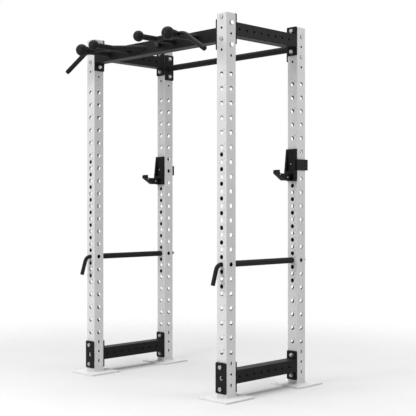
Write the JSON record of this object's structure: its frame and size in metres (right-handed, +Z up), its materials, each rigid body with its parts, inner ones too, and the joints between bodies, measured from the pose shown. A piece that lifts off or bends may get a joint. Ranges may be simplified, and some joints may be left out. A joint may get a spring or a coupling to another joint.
{
  "type": "power rack",
  "caption": "Freestanding power rack with perforated uprights, a multi-grip pull-up beam, a rear pull-up bar, hook-on J-cups and pin-and-pipe safeties.",
  "frame": {"origin": "on the floor, in the middle of the rack's whole bounding box in X and Y, pull-up grips included", "axes": "+Z up; -Y is the front, where the grips are and where the lifter walks in; the rack is mirrored about X = 0"},
  "size_m": [1.38, 1.0476, 2.115],
  "materials": {
    "white_powder_coat": "fine satin powder coat",
    "black_powder_coat": "fine matte powder coat",
    "zinc_plated_steel": "bright zinc plate",
    "black_plastic": "smooth matte moulding",
    "white_plastic": "satin moulding"
  },
  "bodies": {
    "rack": {"upright_front_left": "white_powder_coat", "foot_plate_front_left": "white_powder_coat", "end_cap_front_left": "white_plastic", "upright_front_right": "white_powder_coat", "foot_plate_front_right": "white_powder_coat", "end_cap_front_right": "white_plastic", "upright_rear_left": "white_powder_coat", "foot_plate_rear_left": "white_powder_coat", "end_cap_rear_left": "white_plastic", "upright_rear_right": "white_powder_coat", "foot_plate_rear_right": "white_powder_coat", "end_cap_rear_right": "white_plastic", "lower_side_beam_left": "black_powder_coat", "upper_side_beam_left": "black_powder_coat", "backing_plate_left": "black_powder_coat", "lower_side_beam_right": "black_powder_coat", "upper_side_beam_right": "black_powder_coat", "backing_plate_right": "black_powder_coat", "front_beam": "black_powder_coat", "rear_pull_up_bar": "black_powder_coat", "inner_ball_grip_left": "black_powder_coat", "outer_grip_arm_left": "black_powder_coat", "outer_grip_ball_left": "black_powder_coat", "angled_grip_left": "black_powder_coat", "inner_ball_grip_right": "black_powder_coat", "outer_grip_arm_right": "black_powder_coat", "outer_grip_ball_right": "black_powder_coat", "angled_grip_right": "black_powder_coat", "safety_pipe_left": "black_powder_coat", "safety_pipe_right": "black_powder_coat", "bolt_upper_beam_front_left_1": "zinc_plated_steel", "bolt_upper_beam_front_left_2": "zinc_plated_steel", "bolt_lower_beam_front_left_1": "zinc_plated_steel", "bolt_lower_beam_front_left_2": "zinc_plated_steel", "bolt_cross_front_left_1": "zinc_plated_steel", "bolt_cross_front_left_2": "zinc_plated_steel", "bolt_upper_beam_rear_left_1": "zinc_plated_steel", "bolt_upper_beam_rear_left_2": "zinc_plated_steel", "bolt_lower_beam_rear_left_1": "zinc_plated_steel", "bolt_lower_beam_rear_left_2": "zinc_plated_steel", "bolt_cross_rear_left_1": "zinc_plated_steel", "bolt_cross_rear_left_2": "zinc_plated_steel", "bolt_upper_beam_front_right_1": "zinc_plated_steel", "bolt_upper_beam_front_right_2": "zinc_plated_steel", "bolt_lower_beam_front_right_1": "zinc_plated_steel", "bolt_lower_beam_front_right_2": "zinc_plated_steel", "bolt_cross_front_right_1": "zinc_plated_steel", "bolt_cross_front_right_2": "zinc_plated_steel", "bolt_upper_beam_rear_right_1": "zinc_plated_steel", "bolt_upper_beam_rear_right_2": "zinc_plated_steel", "bolt_lower_beam_rear_right_1": "zinc_plated_steel", "bolt_lower_beam_rear_right_2": "zinc_plated_steel", "bolt_cross_rear_right_1": "zinc_plated_steel", "bolt_cross_rear_right_2": "zinc_plated_steel"},
    "jcup_left": {"jcup_bracket_left": "black_powder_coat", "jcup_liner_left": "black_plastic"},
    "jcup_right": {"jcup_bracket_right": "black_powder_coat", "jcup_liner_right": "black_plastic"},
    "safety_pin_left": {"safety_pin_left": "black_powder_coat"},
    "safety_pin_right": {"safety_pin_right": "black_powder_coat"}
  },
  "joints": [
    {"name": "jcup_left_swing", "type": "hinge", "parent": "rack", "child": "jcup_left", "pos_m": [-0.58, 0.37625, 1.378], "axis": [0, 1, 0], "range_deg": [0, 90]},
    {"name": "jcup_right_swing", "type": "hinge", "parent": "rack", "child": "jcup_right", "pos_m": [0.58, 0.37625, 1.378], "axis": [0, -1, 0], "range_deg": [0, 90]},
    {"name": "safety_pin_left_slide", "type": "slide", "parent": "rack", "child": "safety_pin_left", "axis": [0, -1, 0], "range_m": [0, 0.7]},
    {"name": "safety_pin_right_slide", "type": "slide", "parent": "rack", "child": "safety_pin_right", "axis": [0, -1, 0], "range_m": [0, 0.7]}
  ]
}
